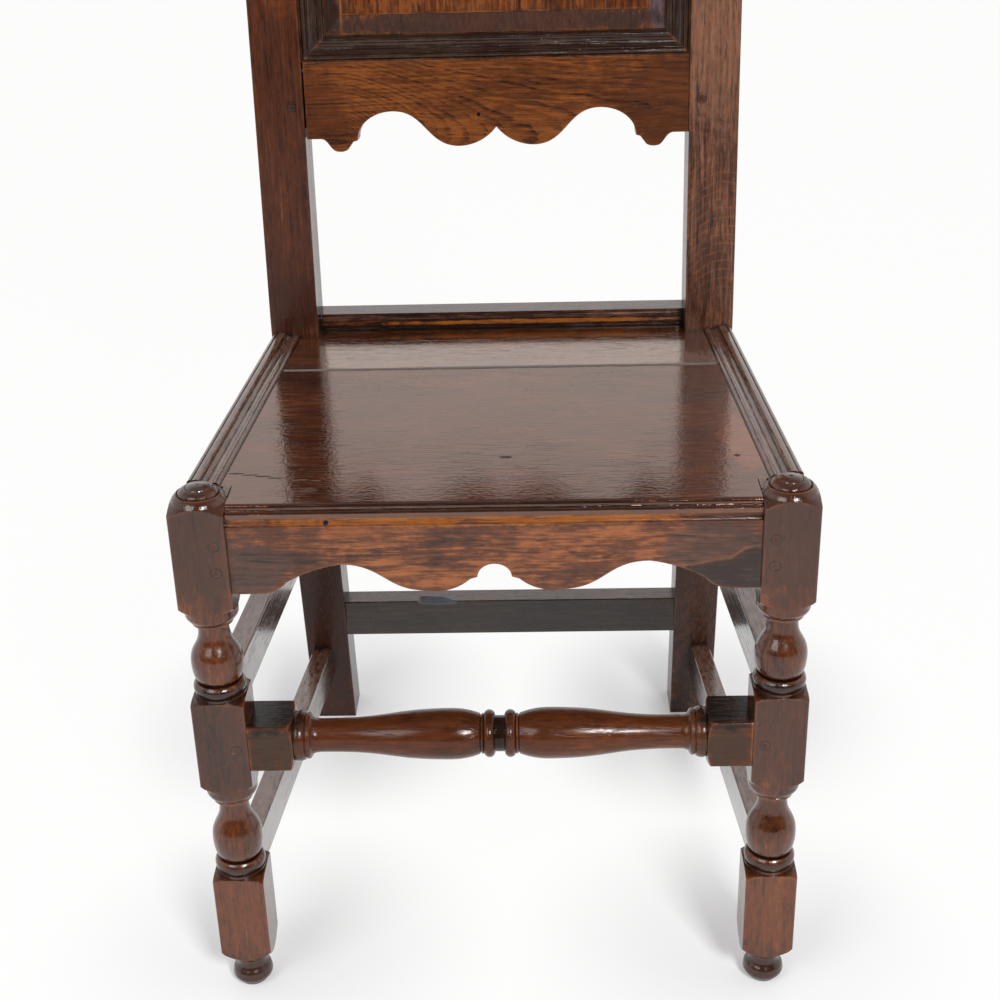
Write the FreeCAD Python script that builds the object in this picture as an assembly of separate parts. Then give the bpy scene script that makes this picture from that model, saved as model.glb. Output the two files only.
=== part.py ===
import FreeCAD, Part
import math
import os

# A joined oak chair with turned front legs, a boarded seat in moulded rails and a raked back
# that holds a fielded panel. Sizes are in millimetres. X runs across the chair, Y from the
# front to the back and Z up. The pieces are drawn with Y = 0 on the front faces of the front
# legs, and save() moves them so that the origin is on the floor under the chair's middle.

V = FreeCAD.Vector
ACROSS = V(1, 0, 0)
BACKWARD = V(0, 1, 0)
UP = V(0, 0, 1)
ORIGIN = V(0, 0, 0)

# Overall sizes
front_width = 480.0
rear_width = 430.0
overall_depth = 470.0
seat_height = 458.0

# Joints
tenon_thickness = 10.0
tenon_gap = 0.2
tenon_end_gap = 0.6
tenon_web = 3.0
peg_diameter = 7.0
peg_gap = 0.1
peg_past = 3.0
overrun = 1.0

# Front legs
leg_size = 42.0
foot_height = 41.5
low_block_height = 77.5
mid_block_bottom = 212.0
mid_block_height = 78.0
top_block_drop = 12.0
dome_height = 19.0
dome_rise = 12.0
dimple_depth = 1.2
leg_arris = 1.8
seat_post_width = 5.5
seat_post_depth = 19.0
seat_post_rise = 1.3

# Rear stiles
stile_width = 44.0
stile_depth = 44.0
stile_top_depth = 36.0
stile_top_chamfer = 6.0
stile_arris = 1.2
foot_kick = 58.0
knee_drop = 73.0
bend_rise = 20.0
rake = 4.57

# Seat
board_thickness = 10.0
board_split = 283.0
board_split_gap = 2.4
board_edge_radius = 1.2
board_gap = 0.3
nose_inset = 4.5
nose_run = 7.0
nose_drop = 7.6
nose_back = 1.0
tongue_length = 8.0
tongue_thickness = 6.0
tongue_shoulder_gap = 0.8

# Front seat rail
front_rail_inset = 4.0
front_rail_thickness = 26.0
front_rail_height = 62.0
front_rail_scallop = 24.0
front_rail_tenon = 28.0
front_rail_arris_height = 6.0
front_rail_arris_depth = 2.5
rail_tenon_margin = 8.5
front_peg_inset = 9.5
front_peg_pitch = 22.0
patch_height = 36.0
patch_length = 68.0

# Side seat rails
side_rail_front_inset = 8.0
side_rail_rear_inset = 2.0
side_rail_height = 60.0
side_rail_rise = 6.0
side_moulding_width = 25.0
side_moulding_drop = 6.0
side_ledge_width = 11.0
side_tenon_inset = 12.0
side_tenon_cover = 6.0
side_peg_pitch = 16.0

# Back seat rail
back_rail_setback = 16.0
back_rail_thickness = 28.0
back_rail_height = 60.0
back_rail_rise = 16.0
back_rail_tenon = 18.0
back_moulding_height = 13.0
back_moulding_depth = 3.4
back_peg_inset = 9.0

# Stretchers
front_stretcher_size = 41.0
front_stretcher_block = 35.0
front_stretcher_drop = 3.5
front_stretcher_tenon = 24.0
front_stretcher_tenon_height = 30.0
side_stretcher_thickness = 19.0
side_stretcher_front_inset = 8.0
side_stretcher_rear_inset = 7.0
side_stretcher_drop = 3.0
upper_stretcher_height = 38.0
lower_stretcher_height = 36.0
lower_stretcher_fall = 22.0
lower_stretcher_tenon = 24.0
stretcher_rear_tenon = 22.0
stretcher_tenon_margin = 5.0
stretcher_arris = 1.2
rear_stretcher_bottom = 112.0
rear_stretcher_height = 39.0
rear_stretcher_thickness = 24.0
rear_stretcher_inset = 6.0
rear_stretcher_tenon = 18.0
chip_start = 98.0
chip_length = 52.0
chip_drop = 2.4
chip_run = 17.0

# Back frame and panel, measured along the raked stiles from their bend
back_inset = 3.0
back_thickness = 24.0
lower_rail_start = 163.0
lower_rail_height = 66.7
lower_rail_scallop = 23.0
back_tenon = 22.0
back_tenon_margin = 9.0
panel_opening_height = 279.3
crest_height = 62.4
crest_drop = 39.0
crest_scallop = 23.0
shoulder_gap = 1.3
frame_peg_inset = 11.0
frame_peg_proud = 0.6
lower_peg_rise = 28.6
groove_setback = 11.0
groove_width = 6.0
groove_depth = 8.0
panel_edge_gap = 0.2
panel_bury = 7.0
strip_width = 21.5
strip_depth = 10.8
strip_inset = 0.2
bevel_width = 15.0
bevel_height = 17.5
bevel_drop = 4.5
field_step = 1.5
field_inset = 4.0

# Curve shapes: how far a curve's handles reach, as shares of the distance covered
ess_share = 0.5
quarter_share = 0.552

# How far back the foot of the back rail's bead lies, as a share of its moulding's depth
bead_foot_share = 0.44

# Limits that tell edges apart
full_turn = 360.0
tiny = 0.01
parallel_share = 0.02

# Places that follow from the sizes
seat_run = overall_depth - foot_kick - stile_depth
board_bottom = seat_height - board_thickness
front_rail_bottom = board_bottom - front_rail_height
low_block_top = foot_height + low_block_height
mid_block_top = mid_block_bottom + mid_block_height
top_block_bottom = front_rail_bottom - top_block_drop
leg_top = seat_height + dome_rise
dome_base = leg_top - dome_height
leg_x = front_width / 2 - leg_size / 2
leg_inner = front_width / 2 - leg_size
stile_outer = rear_width / 2
stile_inner = rear_width / 2 - stile_width
knee_height = seat_height - knee_drop
bend_height = seat_height + bend_rise
side_rail_top = seat_height + side_rail_rise
side_rail_bottom = side_rail_top - side_rail_height
back_rail_front = seat_run + back_rail_setback
back_rail_top = seat_height + back_rail_rise
back_rail_bottom = back_rail_top - back_rail_height
back_rail_face = back_rail_front + back_moulding_depth * bead_foot_share
board_back = back_rail_face - tongue_shoulder_gap
stretcher_axis = mid_block_bottom + mid_block_height / 2 - front_stretcher_drop
rake_sin = math.sin(math.radians(rake))
rake_cos = math.cos(math.radians(rake))
lower_rail_top = lower_rail_start + lower_rail_height
crest_bottom = lower_rail_top + panel_opening_height
crest_shoulder = crest_bottom + crest_height
stile_length = crest_shoulder + crest_drop
back_tenon_front = back_inset + (back_thickness - tenon_thickness) / 2
groove_front = back_inset + groove_setback
panel_front = groove_front + panel_edge_gap

# Turned shapes. Each row is a move and its places: shares of the square's half width across,
# and of the zone's height along. A radius share over the square's corner leaves a plain block.
foot_shares = (
    ("line", 0.47, 0.0),
    ("arc", 0.60, 0.03, 0.655, 0.095),
    ("line", 0.70, 0.105),
    ("arc", 0.80, 0.19, 0.785, 0.28),
    ("ess", 0.60, 0.52),
    ("line", 0.60, 0.60),
    ("line", 0.64, 0.61),
    ("line", 0.64, 0.65),
    ("line", 0.61, 0.66),
    ("arc", 0.76, 0.75, 1.0, 0.83),
    ("line", 1.22, 0.93),
    ("arc", 1.33, 0.99, 1.42, 1.11),
)
baluster_shares = (
    ("line", 1.5, -0.10),
    ("arc", 1.33, -0.022, 1.15, -0.002),
    ("line", 0.965, 0.0),
    ("line", 0.965, 0.028),
    ("line", 0.90, 0.034),
    ("arc", 0.985, 0.092, 0.87, 0.15),
    ("line", 0.71, 0.156),
    ("line", 0.71, 0.166),
    ("line", 0.79, 0.175),
    ("turn", 0.975, 0.35),
    ("ess", 0.57, 0.70),
    ("line", 0.57, 0.72),
    ("dive", 0.70, 0.765),
    ("line", 0.76, 0.768),
    ("line", 0.76, 0.79),
    ("line", 0.73, 0.798),
    ("arc", 0.91, 0.825, 0.985, 0.89),
    ("line", 1.0, 0.93),
    ("line", 1.22, 0.97),
    ("arc", 1.34, 0.995, 1.42, 1.065),
)
dome_shares = (
    ("line", 1.5, 0.0),
    ("line", 1.0, 0.37),
    ("arc", 0.92, 0.53, 0.80, 0.66),
    ("line", 0.74, 0.60),
    ("line", 0.71, 0.70),
    ("arc", 0.60, 0.83, 0.47, 0.88),
    ("line", 0.44, 0.855),
    ("line", 0.42, 0.90),
    ("arc", 0.24, 0.972, 0.05, 1.0),
)
spindle_shares = (
    ("line", 1.5, -0.030),
    ("arc", 1.27, -0.010, 1.0, 0.0),
    ("line", 0.965, 0.001),
    ("arc", 0.998, 0.024, 0.93, 0.051),
    ("line", 0.88, 0.054),
    ("line", 0.88, 0.057),
    ("arc", 0.91, 0.067, 0.83, 0.080),
    ("line", 0.79, 0.083),
    ("turn", 0.654, 0.125),
    ("line", 0.654, 0.165),
    ("ess", 0.995, 0.767),
    ("arc", 0.926, 0.846, 0.79, 0.903),
    ("line", 0.74, 0.906),
    ("line", 0.74, 0.911),
    ("line", 0.79, 0.912),
    ("line", 0.79, 0.919),
    ("line", 0.76, 0.922),
    ("arc", 0.925, 0.949, 0.77, 0.976),
    ("line", 0.70, 0.978),
    ("line", 0.70, 1.0),
)

# Scalloped edges, from a rail's end to its middle: shares of its half length and of the rise
apron_shares = (
    ("line", 0.869, 0.0),
    ("arc", 0.833, 0.11, 0.80, 0.29),
    ("line", 0.793, 0.375),
    ("arc", 0.697, 0.76, 0.583, 1.0),
    ("wave", 0.2525, 0.042),
    ("arc", 0.138, 0.175, 0.093, 0.433),
    ("line", 0.0646, 0.504),
    ("dive", 0.0, 0.958),
)
back_scallop_shares = (
    ("line", 0.924, 0.0),
    ("wave", 0.83, -0.50),
    ("arc", 0.80, -0.49, 0.781, -0.43),
    ("line", 0.750, -0.126),
    ("line", 0.728, -0.08),
    ("dive", 0.54, 1.0),
    ("wave", 0.195, -0.37),
    ("arc", 0.087, -0.18, 0.0, 0.343),
)

# The crack above the mended corner of the front rail: shares of the patch's length and height
crack_shares = (
    ("line", 0.19, 0.917),
    ("line", 0.34, 0.694),
    ("line", 0.56, 0.639),
    ("line", 0.71, 0.572),
    ("line", 1.0, 0.49),
)

# The splinter gone from the rear stretcher: shares of its length and of its depth there
chip_shares = ((0.10, 1.0), (0.56, 0.85))

# Mouldings: shares of their width and depth
side_moulding_shares = (
    ("line", 0.0, 0.60),
    ("arc", 0.035, 0.20, 0.14, 0.05),
    ("line", 0.14, 0.20),
    ("line", 0.175, 0.20),
    ("line", 0.175, 0.10),
    ("arc", 0.305, 0.0, 0.44, 0.13),
    ("line", 0.44, 0.30),
    ("line", 0.48, 0.30),
    ("line", 0.48, 0.17),
    ("arc", 0.60, 0.60, 0.76, 0.56),
    ("line", 0.80, 0.45),
    ("arc", 0.93, 0.56, 1.0, 1.0),
)
nose_shares = (
    ("line", 1.0, 0.0),
    ("arc", 0.77, 0.07, 0.62, 0.30),
    ("line", 0.52, 0.31),
    ("line", 0.52, 0.36),
    ("arc", 0.44, 0.66, 0.20, 0.76),
    ("line", 0.06, 0.77),
    ("arc", 0.015, 0.80, 0.0, 0.85),
    ("line", 0.0, 1.0),
)
back_moulding_shares = (
    ("line", 1.0, 0.0),
    ("line", 1.0, 0.10),
    ("line", 0.85, 0.12),
    ("arc", 0.66, 0.30, 0.22, 0.38),
    ("line", 0.07, 0.39),
    ("line", 0.07, 0.45),
    ("arc", 0.0, 0.72, bead_foot_share, 1.0),
)
strip_shares = (
    ("line", 0.0, 0.04),
    ("line", 0.05, 0.04),
    ("line", 0.07, 0.10),
    ("arc", 0.165, 0.0, 0.26, 0.12),
    ("line", 0.28, 0.19),
    ("line", 0.32, 0.19),
    ("line", 0.33, 0.13),
    ("arc", 0.44, 0.38, 0.65, 0.45),
    ("line", 0.70, 0.45),
    ("line", 0.70, 0.54),
    ("arc", 0.88, 0.56, 0.97, 0.79),
    ("line", 1.0, 0.84),
    ("line", 1.0, 1.0),
)


class Outline:
    """A closed outline drawn edge by edge in u and v, which place() puts in space."""

    def __init__(self, place, u, v):
        self.place = place
        self.first = (u, v)
        self.here = (u, v)
        self.edges = []

    def add(self, curve, u, v):
        self.edges.append(curve.toShape())
        self.here = (u, v)

    def line(self, u, v):
        if math.dist(self.here, (u, v)) > 0:
            self.add(Part.LineSegment(self.place(*self.here), self.place(u, v)), u, v)

    def arc(self, um, vm, u, v):
        """A circle's arc by way of (um, vm)."""
        self.add(Part.Arc(self.place(*self.here), self.place(um, vm), self.place(u, v)), u, v)

    def handles(self, leave, arrive, u, v):
        """A smooth curve with one handle at each end."""
        curve = Part.BezierCurve()
        curve.setPoles([self.place(*point) for point in (self.here, leave, arrive, (u, v))])
        self.add(curve, u, v)

    def ess(self, u, v):
        """A double curve that leaves and arrives along v."""
        reach = (v - self.here[1]) * ess_share
        self.handles((self.here[0], self.here[1] + reach), (u, v - reach), u, v)

    def wave(self, u, v):
        """A double curve that leaves and arrives along u."""
        reach = (u - self.here[0]) * ess_share
        self.handles((self.here[0] + reach, self.here[1]), (u - reach, v), u, v)

    def turn(self, u, v):
        """A quarter curve that leaves along u and arrives along v."""
        across = (u - self.here[0]) * quarter_share
        along = (v - self.here[1]) * quarter_share
        self.handles((self.here[0] + across, self.here[1]), (u, v - along), u, v)

    def dive(self, u, v):
        """A quarter curve that leaves along v and arrives along u."""
        across = (u - self.here[0]) * quarter_share
        along = (v - self.here[1]) * quarter_share
        self.handles((self.here[0], self.here[1] + along), (u - across, v), u, v)

    def follow(self, rows, u_span, v_span):
        """Draws rows of moves whose places are shares of two spans."""
        spans = (u_span, v_span)
        for move, *shares in rows:
            places = []
            for count, share in enumerate(shares):
                low, high = spans[count % 2]
                places.append(low + (high - low) * share)
            getattr(self, move)(*places)

    def face(self):
        self.line(*self.first)
        return Part.Face(Part.Wire(self.edges))


def box(x0, x1, y0, y1, z0, z1):
    return Part.makeBox(x1 - x0, y1 - y0, z1 - z0, V(x0, y0, z0))


def prism(points, travel):
    """The solid that a closed polygon sweeps along a straight travel."""
    return Part.Face(Part.makePolygon(points + points[:1])).extrude(travel)


def mirrored(shape):
    return shape.mirror(ORIGIN, ACROSS)


def both_halves(half):
    return half.fuse(mirrored(half)).removeSplitter()


def joined(solid, *others):
    return solid.multiFuse(list(others)).removeSplitter()


def without(solid, cutters):
    """Cuts from a solid whatever cutters reach it."""
    for cutter in cutters:
        if solid.BoundBox.intersect(cutter.BoundBox):
            solid = solid.cut(cutter)
    return solid


def softened(solid, direction, radius):
    """Rounds the straight edges that run along a direction."""
    edges = []
    for edge in solid.Edges:
        run = edge.Vertexes[-1].Point.sub(edge.Vertexes[0].Point)
        if run.cross(direction).Length < run.Length * parallel_share:
            edges.append(edge)
    return solid.makeFillet(radius, edges)


def tenon_across(root, length, y0, y1, z0, z1):
    """A tenon that points along +X, and the mortise that it needs."""
    tip = root + length
    tenon = box(root, tip, y0, y1, z0, z1)
    mortise = box(root - overrun, tip + tenon_end_gap, y0 - tenon_gap, y1 + tenon_gap,
                  z0 - tenon_gap, z1 + tenon_gap)
    return tenon, mortise


def raked(shape):
    """Moves a shape from the back frame's own X, depth and height to the leaning stiles."""
    placed = shape.copy()
    placed.rotate(ORIGIN, ACROSS, -rake)
    placed.translate(V(0, seat_run, bend_height))
    return placed


def raked_point(depth, height):
    """Y and Z of a point given by its depth behind a stile's face and its height along it."""
    y = seat_run + depth * rake_cos + height * rake_sin
    z = bend_height + height * rake_cos - depth * rake_sin
    return V(0, y, z)


def stile_front(z):
    """Y of a stile's front face at a height below the bend."""
    return seat_run + foot_kick * max(knee_height - z, 0) / knee_height


class Splay:
    """A member at the chair's right side, known by the line of its outer face.

    Its heights are given where it leaves the front leg, and it may fall towards the back.
    """

    def __init__(self, front_x, rear_x, rear_y, fall=0.0):
        self.front_x = front_x
        self.slope = (rear_x - front_x) / (rear_y - leg_size)
        self.dip = fall / (rear_y - leg_size)

    def x(self, y):
        return self.front_x + self.slope * (y - leg_size)

    def z(self, y, height):
        return height - self.dip * (y - leg_size)

    def sweep(self, face, y0, y1):
        return face.extrude(V(self.x(y1) - self.x(y0), y1 - y0, self.z(y1, 0) - self.z(y0, 0)))

    def bar(self, inset0, inset1, y0, y1, z0, z1):
        """A straight bar between two insets from the outer face."""
        outer = self.x(y0) - inset0
        inner = self.x(y0) - inset1
        low = self.z(y0, z0)
        high = self.z(y0, z1)
        points = [V(outer, y0, low), V(outer, y0, high), V(inner, y0, high), V(inner, y0, low)]
        return self.sweep(Part.Face(Part.makePolygon(points + points[:1])), y0, y1)

    def tenon(self, inset, y_root, y_tip, z0, z1):
        """A tenon and its mortise; it points forward or back."""
        way = math.copysign(1, y_tip - y_root)
        solid = self.bar(inset, inset + tenon_thickness, y_root, y_tip, z0, z1)
        mortise = self.bar(inset - tenon_gap, inset + tenon_thickness + tenon_gap,
                           y_root - way * overrun, y_tip + way * tenon_end_gap,
                           z0 - tenon_gap, z1 + tenon_gap)
        return solid, mortise


side_rail_line = Splay(front_width / 2 - side_rail_front_inset,
                       stile_outer - side_rail_rear_inset, seat_run)


class Pegs:
    """Oak pegs at the chair's right side, with the holes that they fill."""

    def __init__(self):
        self.right = []
        self.holes = []

    def add(self, start, direction, length, proud=0.0):
        radius = peg_diameter / 2
        head = start.sub(V(direction).multiply(proud))
        mouth = start.sub(V(direction).multiply(overrun))
        self.right.append(Part.makeCylinder(radius, length + proud, head, direction))
        self.holes.append(Part.makeCylinder(radius + peg_gap, length + overrun + tenon_end_gap,
                                            mouth, direction))

    def group(self):
        return Part.makeCompound(self.right + [mirrored(peg) for peg in self.right])


def leg_blank():
    """The right front leg before its mortises: turned work left square at three blocks.

    A narrow fin beside the seat board stays square above the dome's edge.
    """
    half = leg_size / 2
    across = (0, half)
    outline = Outline(lambda r, z: V(r, 0, z), 0, 0)
    outline.follow(foot_shares, across, (0, foot_height))
    outline.follow(baluster_shares, across, (low_block_top, mid_block_bottom))
    outline.follow(baluster_shares, across, (mid_block_top, top_block_bottom))
    outline.follow(dome_shares, across, (dome_base, leg_top))
    outline.line(0, leg_top - dimple_depth)
    turned = outline.face().revolve(ORIGIN, UP, full_turn)
    post = box(-half, seat_post_width - half, half - seat_post_depth, half, dome_base,
               seat_height + seat_post_rise)
    square = box(-half, half, -half, half, -overrun, leg_top + overrun)
    leg = turned.fuse(post).common(softened(square, UP, leg_arris))
    leg.translate(V(leg_x, half, 0))
    return leg


def stile_blank():
    """The right rear stile before its mortises."""
    points = [
        V(0, seat_run + foot_kick, 0),
        V(0, seat_run, knee_height),
        V(0, seat_run, bend_height),
        raked_point(0, stile_length),
        raked_point(stile_top_depth, stile_length),
        V(0, seat_run + stile_depth, bend_height),
        V(0, seat_run + stile_depth, knee_height),
        V(0, overall_depth, 0),
    ]
    stile = prism(points, ACROSS * stile_width)
    stile.translate(V(stile_inner, 0, 0))
    top = max(stile.Faces, key=lambda face: face.CenterOfMass.z)
    stile = stile.makeChamfer(stile_top_chamfer, top.Edges)
    corners = []
    for edge in stile.Edges:
        run = edge.Vertexes[-1].Point.sub(edge.Vertexes[0].Point)
        if abs(run.x) < tiny and abs(run.z) > run.Length / 2:
            corners.append(edge)
    return stile.makeFillet(stile_arris, corners)


def scalloped_half(place, span, straight, edge, swing, rows):
    """Half a rail from its middle to its end, straight on one side and scalloped on the other."""
    outline = Outline(place, 0, straight)
    outline.line(span, straight)
    outline.line(span, edge)
    outline.follow(rows, (0, span), (edge, edge + swing))
    return outline.face()


def front_seat_rail(pegs):
    """The scalloped rail under the seat's front, its mended corner and its mortise."""
    front = front_rail_inset
    back = front + front_rail_thickness
    half = scalloped_half(lambda x, z: V(x, front, z), leg_inner, board_bottom,
                          front_rail_bottom, front_rail_scallop, apron_shares)
    half = half.extrude(BACKWARD * front_rail_thickness)
    tenon_front = front + (front_rail_thickness - tenon_thickness) / 2
    z0 = front_rail_bottom + rail_tenon_margin
    z1 = board_bottom - rail_tenon_margin
    tenon, mortise = tenon_across(leg_inner, front_rail_tenon, tenon_front,
                                  tenon_front + tenon_thickness, z0, z1)
    rail = both_halves(joined(half, tenon))
    arris = Outline(lambda y, z: V(-leg_inner, y, z), front - overrun, board_bottom + overrun)
    arris.line(front + front_rail_arris_depth, board_bottom + overrun)
    arris.line(front + front_rail_arris_depth, board_bottom)
    arris.dive(front, board_bottom - front_rail_arris_height)
    arris.line(front - overrun, board_bottom - front_rail_arris_height)
    rail = rail.cut(arris.face().extrude(ACROSS * (2 * leg_inner)))
    for rise in (-1, 1):
        z = (z0 + z1) / 2 + rise * front_peg_pitch / 2
        pegs.add(V(leg_inner + front_peg_inset, 0, z), BACKWARD,
                 tenon_front + tenon_thickness + peg_past)
    crack = Outline(lambda x, z: V(x, front - overrun, z), leg_inner, front_rail_bottom - overrun)
    crack.line(leg_inner, front_rail_bottom + patch_height)
    crack.follow(crack_shares, (leg_inner, leg_inner - patch_length),
                 (front_rail_bottom, front_rail_bottom + patch_height))
    crack.line(leg_inner - patch_length, front_rail_bottom - overrun)
    broken = crack.face().extrude(BACKWARD * (front_rail_thickness + 2 * overrun))
    tenon_end = box(leg_inner, leg_inner + front_rail_tenon, front, back, z0, z1)
    patch = rail.common(broken).cut(tenon_end)
    return rail.cut(patch), patch, mortise


def side_seat_rail(pegs):
    """The right side rail, with its moulded top, the ledge for the boards and its mortises."""
    line = side_rail_line
    x_front = line.x(leg_size)
    width = side_moulding_width + side_ledge_width
    outline = Outline(lambda u, z: V(x_front - u, leg_size, z), 0, side_rail_bottom)
    outline.follow(side_moulding_shares, (0, side_moulding_width),
                   (side_rail_top, side_rail_top - side_moulding_drop))
    outline.line(side_moulding_width, board_bottom)
    outline.line(width, board_bottom)
    outline.line(width, side_rail_bottom)
    body = line.sweep(outline.face(), leg_size, seat_run)
    z0 = side_rail_bottom + rail_tenon_margin
    front_z1 = dome_base - side_tenon_cover
    rear_z1 = side_rail_top - rail_tenon_margin
    front_tip = front_tenon_back() + tenon_web
    rear_tip = back_rail_front + (back_rail_thickness - tenon_thickness) / 2 - tenon_web
    front_tenon, front_mortise = line.tenon(side_tenon_inset, leg_size, front_tip, z0, front_z1)
    rear_tenon, rear_mortise = line.tenon(side_tenon_inset, seat_run, rear_tip, z0, rear_z1)
    for y, z1, outer in (((leg_size + front_tip) / 2, front_z1, front_width / 2),
                         ((seat_run + rear_tip) / 2, rear_z1, stile_outer)):
        length = outer - (line.x(y) - side_tenon_inset - tenon_thickness) + peg_past
        for rise in (-1, 1):
            z = (z0 + z1) / 2 + rise * side_peg_pitch / 2
            pegs.add(V(outer, y, z), -ACROSS, length)
    return joined(body, front_tenon, rear_tenon), front_mortise, rear_mortise


def front_tenon_back():
    """Y of the back of the front rail's tenon, inside the leg."""
    return front_rail_inset + (front_rail_thickness + tenon_thickness) / 2


def back_seat_rail(pegs):
    """The rail behind the seat, moulded at its top, grooved for the board's tongue."""
    back = back_rail_front + back_rail_thickness
    outline = Outline(lambda y, z: V(0, y, z), back, back_rail_top)
    outline.follow(back_moulding_shares,
                   (back_rail_front, back_rail_front + back_moulding_depth),
                   (back_rail_top, back_rail_top - back_moulding_height))
    outline.line(back_rail_face, back_rail_bottom)
    outline.line(back, back_rail_bottom)
    half = outline.face().extrude(ACROSS * stile_inner)
    tenon_front = back_rail_front + (back_rail_thickness - tenon_thickness) / 2
    z0 = back_rail_bottom + rail_tenon_margin
    z1 = back_rail_top - rail_tenon_margin
    tenon, mortise = tenon_across(stile_inner, back_rail_tenon, tenon_front,
                                  tenon_front + tenon_thickness, z0, z1)
    rail = both_halves(joined(half, tenon))
    tongue_bottom = board_bottom + (board_thickness - tongue_thickness) / 2
    groove = box(-stile_inner, stile_inner, back_rail_face - overrun,
                 board_back + tongue_length + tenon_end_gap, tongue_bottom - tenon_gap,
                 tongue_bottom + tongue_thickness + tenon_gap)
    for rise in (-1, 1):
        z = (z0 + z1) / 2 + rise * front_peg_pitch / 2
        pegs.add(V(stile_inner + back_peg_inset, seat_run + stile_depth, z), -BACKWARD,
                 seat_run + stile_depth - tenon_front + peg_past)
    return rail.cut(groove), mortise


def front_stretcher(pegs):
    """The turned bar between the front legs' middle blocks."""
    half = front_stretcher_size / 2
    turned_length = leg_inner - front_stretcher_block
    spindle = Outline(lambda r, s: V(turned_length - s, 0, r), 0, -front_stretcher_block)
    spindle.line(front_stretcher_size, -front_stretcher_block)
    spindle.follow(spindle_shares, (0, half), (0, turned_length))
    spindle.line(0, turned_length)
    turned = spindle.face().revolve(ORIGIN, ACROSS, full_turn)
    square = softened(box(-overrun, leg_inner, -half, half, -half, half), ACROSS, leg_arris)
    body = turned.common(square)
    body.translate(V(0, leg_size / 2, stretcher_axis))
    y0 = (leg_size - tenon_thickness) / 2
    z0 = stretcher_axis - front_stretcher_tenon_height / 2
    tenon, mortise = tenon_across(leg_inner, front_stretcher_tenon, y0, y0 + tenon_thickness,
                                  z0, z0 + front_stretcher_tenon_height)
    pegs.add(V(leg_inner + front_peg_inset, 0, stretcher_axis), BACKWARD,
             y0 + tenon_thickness + peg_past)
    return both_halves(joined(body, tenon)), mortise


def side_stretcher(z1, height, fall, front_tenon_length, pegs):
    """A right side stretcher, cut to the slope of the rear stile, and its two mortises."""
    z0 = z1 - height
    middle = (z0 + z1) / 2
    rear = stile_front(middle - fall)
    line = Splay(front_width / 2 - side_stretcher_front_inset,
                 stile_outer - side_stretcher_rear_inset, rear, fall)
    rear_low = z0 - fall - overrun
    rear_high = z1 - fall + overrun
    body = line.bar(0, side_stretcher_thickness, leg_size, stile_front(rear_low), z0, z1)
    body = softened(body, V(line.slope, 1, -line.dip), stretcher_arris)
    behind = prism([V(0, stile_front(z), z) for z in (rear_low, rear_high)]
                   + [V(0, overall_depth, z) for z in (rear_high, rear_low)],
                   ACROSS * front_width)
    body = body.cut(behind)
    inset = (side_stretcher_thickness - tenon_thickness) / 2
    low = z0 + stretcher_tenon_margin
    high = z1 - stretcher_tenon_margin
    front_tip = leg_size - front_tenon_length
    rear_tip = rear + stretcher_rear_tenon
    front_tenon, front_mortise = line.tenon(inset, leg_size, front_tip, low, high)
    rear_tenon, rear_mortise = line.tenon(inset, stile_front(z1 - fall), rear_tip, low, high)
    for y, outer in (((leg_size + front_tip) / 2, front_width / 2),
                     ((rear + rear_tip) / 2, stile_outer)):
        length = outer - (line.x(y) - inset - tenon_thickness) + peg_past
        pegs.add(V(outer, y, line.z(y, middle)), -ACROSS, length)
    return joined(body, front_tenon, rear_tenon), front_mortise, rear_mortise


def rear_stretcher(pegs):
    """The low bar between the rear legs, with a splinter gone from its front edge."""
    z0 = rear_stretcher_bottom
    z1 = z0 + rear_stretcher_height
    middle = (z0 + z1) / 2
    front = stile_front(z1) + rear_stretcher_inset
    body = softened(box(-stile_inner, stile_inner, front, front + rear_stretcher_thickness, z0, z1),
                    ACROSS, stretcher_arris)
    y0 = front + (rear_stretcher_thickness - tenon_thickness) / 2
    tenon, mortise = tenon_across(stile_inner, rear_stretcher_tenon, y0, y0 + tenon_thickness,
                                  z0 + stretcher_tenon_margin, z1 - stretcher_tenon_margin)
    back = stile_front(middle) + stile_depth
    pegs.add(V(stile_inner + back_peg_inset, back, middle), -BACKWARD, back - y0 + peg_past)
    body = joined(body, tenon, mirrored(tenon))
    return body.cut(splinter(front, z1)), mortise


def splinter(front, top):
    """The thin sliver that has split off the top, pointed at its ends and steep at its left."""
    left = -chip_start
    sections = []
    for along_share, size_share in chip_shares:
        x = left + chip_length * along_share
        corner = V(x, front - overrun, top + overrun)
        low = V(x, front - overrun, top - chip_drop * size_share)
        deep = V(x, front + chip_run * size_share, top + overrun)
        sections.append(Part.makePolygon([corner, low, deep, corner]))
    first = Part.Vertex(V(left, front - overrun, top + overrun))
    last = Part.Vertex(V(left + chip_length, front - overrun, top + overrun))
    return Part.makeLoft([first] + sections + [last], True, True)


def board_half_width(y):
    """Half the seat's width between the side mouldings."""
    return side_rail_line.x(y) - side_moulding_width - board_gap


def board_between(y0, y1):
    """A seat board that fills the width between the side mouldings."""
    points = [V(-board_half_width(y0), y0, board_bottom), V(board_half_width(y0), y0, board_bottom),
              V(board_half_width(y1), y1, board_bottom), V(-board_half_width(y1), y1, board_bottom)]
    return prism(points, UP * board_thickness)


def eased(board, y):
    """Rounds a board's top edge at its joint with the other board."""
    corner = V(0, y, seat_height)
    joint = [edge for edge in board.Edges
             if all(abs(point.Y - corner.y) + abs(point.Z - corner.z) < tiny
                    for point in edge.Vertexes)]
    return board.makeFillet(board_edge_radius, joint)


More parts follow.
